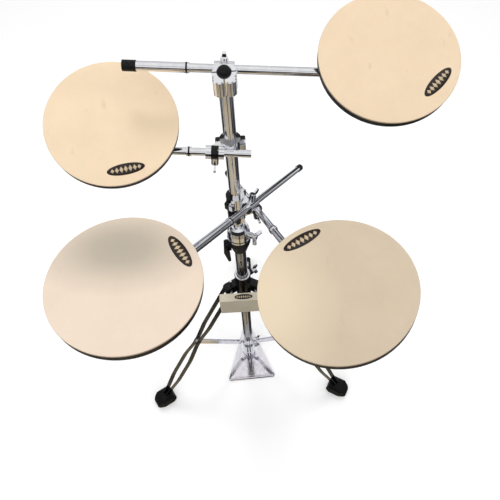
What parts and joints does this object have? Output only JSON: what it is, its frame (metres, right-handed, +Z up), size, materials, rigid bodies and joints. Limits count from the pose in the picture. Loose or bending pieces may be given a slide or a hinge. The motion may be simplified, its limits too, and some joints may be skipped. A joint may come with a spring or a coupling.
{
  "type": "drum practice pad set",
  "caption": "Round rubber practice pads on adjustable chrome arms around a telescoping tripod stand, with a bass drum pad and a floor plate for a pedal.",
  "frame": {"origin": "on the post's axis at floor level, on the underside of the pedal plate", "axes": "+Z up the post, -Y towards the player, +X to the player's right"},
  "size_m": [0.6229, 0.7215, 1.0571],
  "materials": {
    "pad_rubber": "matt gum rubber",
    "pad_base": "satin black board",
    "foot_rubber": "matt black rubber",
    "black_nylon": "moulded nylon",
    "black_metal": "gloss black coating",
    "chrome": "polished chrome plate"
  },
  "bodies": {
    "stand": {"pedal_plate": "chrome", "plate_socket": "chrome", "base_tube": "chrome", "lower_collar": "chrome", "height_clamp": "black_nylon"},
    "plate_bolt": {"plate_bolt": "chrome"},
    "height_lever": {"height_lever": "black_nylon"},
    "post": {"post": "chrome", "post_cap": "black_nylon", "memory_lock": "chrome"},
    "memory_lock_bolt": {"memory_lock_bolt": "chrome"},
    "leg_hub": {"leg_hub": "black_metal", "leg_pins": "chrome"},
    "hub_bolt": {"hub_bolt": "chrome"},
    "bass_pad": {"bass_pad_block": "pad_rubber", "bass_pad_backplate": "black_metal", "bass_pad_clamp": "black_metal"},
    "bass_pad_bolt": {"bass_pad_bolt": "chrome"},
    "left_leg": {"left_leg": "chrome", "left_foot": "foot_rubber"},
    "left_brace": {"left_brace": "chrome"},
    "right_leg": {"right_leg": "chrome", "right_foot": "foot_rubber"},
    "right_brace": {"right_brace": "chrome"},
    "rear_leg": {"rear_leg": "chrome", "rear_foot": "foot_rubber"},
    "rear_brace": {"rear_brace": "chrome"},
    "upper_left_clamp": {"upper_left_clamp": "chrome", "upper_left_clamp_jaw": "black_metal"},
    "upper_left_clamp_bolt": {"upper_left_clamp_bolt": "chrome"},
    "upper_left_rod": {"upper_left_rod": "chrome"},
    "upper_left_pad": {"upper_left_pad_bracket": "chrome", "upper_left_pad_base": "pad_base", "upper_left_pad": "pad_rubber"},
    "upper_right_clamp": {"upper_right_clamp": "chrome", "upper_right_clamp_jaw": "chrome"},
    "upper_right_clamp_bolt": {"upper_right_clamp_bolt": "chrome"},
    "upper_right_rod": {"upper_right_rod": "chrome", "upper_right_rod_cap": "black_nylon"},
    "upper_right_pad": {"upper_right_pad_bracket": "chrome", "upper_right_pad_base": "pad_base", "upper_right_pad": "pad_rubber"},
    "lower_left_clamp": {"lower_left_clamp": "chrome", "lower_left_clamp_jaw": "black_metal"},
    "lower_left_clamp_bolt": {"lower_left_clamp_bolt": "chrome"},
    "lower_left_rod": {"lower_left_rod": "chrome", "lower_left_rod_cap": "black_nylon", "lower_left_rod_end": "chrome"},
    "lower_left_pad": {"lower_left_pad_bracket": "chrome", "lower_left_pad_base": "pad_base", "lower_left_pad": "pad_rubber"},
    "lower_right_clamp": {"lower_right_clamp": "chrome", "lower_right_clamp_jaw": "black_metal"},
    "lower_right_clamp_bolt": {"lower_right_clamp_bolt": "chrome"},
    "lower_right_rod": {"lower_right_rod": "chrome", "lower_right_rod_cap": "black_nylon", "lower_right_rod_end": "chrome"},
    "lower_right_pad": {"lower_right_pad_bracket": "chrome", "lower_right_pad_base": "pad_base", "lower_right_pad": "pad_rubber"}
  },
  "joints": [
    {"name": "post_height", "type": "slide", "parent": "stand", "child": "post", "axis": [0, 0, 1], "range_m": [0, 0.15]},
    {"name": "leg_fold", "type": "slide", "parent": "stand", "child": "leg_hub", "axis": [0, 0, 1], "range_m": [0, 0.05923]},
    {"name": "bass_pad_height", "type": "slide", "parent": "stand", "child": "bass_pad", "axis": [0, 0, 1], "range_m": [-0.01, 0.01]},
    {"name": "height_lever_turn", "type": "hinge", "parent": "stand", "child": "height_lever", "pos_m": [-0.028, 0, 0.577], "axis": [0, 1, 0], "range_deg": [0, 90]},
    {"name": "plate_bolt_turn", "type": "hinge", "parent": "stand", "child": "plate_bolt", "pos_m": [0.02079, 0.012, 0.026], "axis": [0.866, 0.5, 0], "continuous": true},
    {"name": "hub_bolt_turn", "type": "hinge", "parent": "leg_hub", "child": "hub_bolt", "pos_m": [0.02252, 0.013, 0.441], "axis": [0.866, 0.5, 0], "continuous": true},
    {"name": "bass_pad_bolt_turn", "type": "hinge", "parent": "bass_pad", "child": "bass_pad_bolt", "pos_m": [0.02079, 0.012, 0.366], "axis": [0.866, 0.5, 0], "continuous": true},
    {"name": "memory_lock_bolt_turn", "type": "hinge", "parent": "post", "child": "memory_lock_bolt", "pos_m": [0.02719, -0.01268, 0.625], "axis": [0.9063, -0.4226, 0], "continuous": true},
    {"name": "left_leg_hinge", "type": "hinge", "parent": "leg_hub", "child": "left_leg", "pos_m": [-0.03464, -0.02, 0.42], "axis": [0.5, -0.866, 0], "range_deg": [0, 20.1]},
    {"name": "left_brace_hinge", "type": "hinge", "parent": "stand", "child": "left_brace", "pos_m": [-0.02338, -0.0135, 0.078], "axis": [-0.5, 0.866, 0], "range_deg": [0, 20.27]},
    {"name": "right_leg_hinge", "type": "hinge", "parent": "leg_hub", "child": "right_leg", "pos_m": [0.03464, -0.02, 0.42], "axis": [0.5, 0.866, 0], "range_deg": [0, 20.1]},
    {"name": "right_brace_hinge", "type": "hinge", "parent": "stand", "child": "right_brace", "pos_m": [0.02338, -0.0135, 0.078], "axis": [-0.5, -0.866, 0], "range_deg": [0, 20.27]},
    {"name": "rear_leg_hinge", "type": "hinge", "parent": "leg_hub", "child": "rear_leg", "pos_m": [0, 0.04, 0.42], "axis": [-1, 0, 0], "range_deg": [0, 20.1]},
    {"name": "rear_brace_hinge", "type": "hinge", "parent": "stand", "child": "rear_brace", "pos_m": [0, 0.027, 0.078], "axis": [1, 0, 0], "range_deg": [0, 20.27]},
    {"name": "upper_left_swivel", "type": "hinge", "parent": "post", "child": "upper_left_clamp", "pos_m": [0, 0, 0.876], "axis": [0, 0, 1], "range_deg": [-10, 6]},
    {"name": "upper_left_clamp_bolt_turn", "type": "hinge", "parent": "upper_left_clamp", "child": "upper_left_clamp_bolt", "pos_m": [-0.02721, -0.01862, 0.86341], "axis": [-0.0903, 0.0046, -0.9959], "continuous": true},
    {"name": "upper_left_slide", "type": "slide", "parent": "upper_left_clamp", "child": "upper_left_rod", "axis": [0.9946, -0.0502, -0.0904], "range_m": [-0.007, 0.02]},
    {"name": "upper_left_tilt", "type": "hinge", "parent": "upper_left_rod", "child": "upper_left_pad", "pos_m": [-0.17705, -0.01106, 0.89209], "axis": [0.9946, -0.0502, -0.0904], "range_deg": [-12, 12]},
    {"name": "upper_right_swivel", "type": "hinge", "parent": "post", "child": "upper_right_clamp", "pos_m": [0, 0, 1.0043], "axis": [0, 0, 1], "range_deg": [-8, 8]},
    {"name": "upper_right_clamp_bolt_turn", "type": "hinge", "parent": "upper_right_clamp", "child": "upper_right_clamp_bolt", "pos_m": [0.00106, 0.02374, 1.01926], "axis": [0.0707, -0.004, 0.9975], "continuous": true},
    {"name": "upper_right_slide", "type": "slide", "parent": "upper_right_clamp", "child": "upper_right_rod", "axis": [-0.9959, 0.0566, 0.0708], "range_m": [-0.025, 0.03]},
    {"name": "upper_right_tilt", "type": "hinge", "parent": "upper_right_rod", "child": "upper_right_pad", "pos_m": [0.24001, 0.01016, 0.98725], "axis": [-0.9959, 0.0566, 0.0708], "range_deg": [-10, 10]},
    {"name": "lower_left_swivel", "type": "hinge", "parent": "post", "child": "lower_left_clamp", "pos_m": [0, 0, 0.7322], "axis": [0, 0, 1], "range_deg": [-12, 5]},
    {"name": "lower_left_clamp_bolt_turn", "type": "hinge", "parent": "lower_left_clamp", "child": "lower_left_clamp_bolt", "pos_m": [0.03076, -0.01288, 0.74583], "axis": [0.2305, 0.3481, 0.9087], "continuous": true},
    {"name": "lower_left_slide", "type": "slide", "parent": "lower_left_clamp", "child": "lower_left_rod", "axis": [0.5017, 0.7576, -0.4175], "range_m": [-0.03, 0.03]},
    {"name": "lower_left_tilt", "type": "hinge", "parent": "lower_left_rod", "child": "lower_left_pad", "pos_m": [-0.14177, -0.27341, 0.87291], "axis": [0.8217, -0.5682, -0.0437], "range_deg": [-15, 15]},
    {"name": "lower_right_swivel", "type": "hinge", "parent": "post", "child": "lower_right_clamp", "pos_m": [0, 0, 0.692], "axis": [0, 0, 1], "range_deg": [-5, 12]},
    {"name": "lower_right_clamp_bolt_turn", "type": "hinge", "parent": "lower_right_clamp", "child": "lower_right_clamp_bolt", "pos_m": [0.03774, 0.0037, 0.67884], "axis": [0.1361, -0.4601, -0.8774], "continuous": true},
    {"name": "lower_right_slide", "type": "slide", "parent": "lower_right_clamp", "child": "lower_right_rod", "axis": [-0.2489, 0.8413, -0.4798], "range_m": [-0.03, 0.03]},
    {"name": "lower_right_tilt", "type": "hinge", "parent": "lower_right_rod", "child": "lower_right_pad", "pos_m": [0.12681, -0.29732, 0.86762], "axis": [0.9167, 0.3645, 0.1635], "range_deg": [-15, 15]}
  ],
  "couplings": [
    {"joint": "left_leg_hinge", "follows": "leg_fold", "rad_per_m": 5.8931},
    {"joint": "left_brace_hinge", "follows": "leg_fold", "rad_per_m": 5.9422},
    {"joint": "right_leg_hinge", "follows": "leg_fold", "rad_per_m": 5.8931},
    {"joint": "right_brace_hinge", "follows": "leg_fold", "rad_per_m": 5.9422},
    {"joint": "rear_leg_hinge", "follows": "leg_fold", "rad_per_m": 5.8931},
    {"joint": "rear_brace_hinge", "follows": "leg_fold", "rad_per_m": 5.9422}
  ]
}
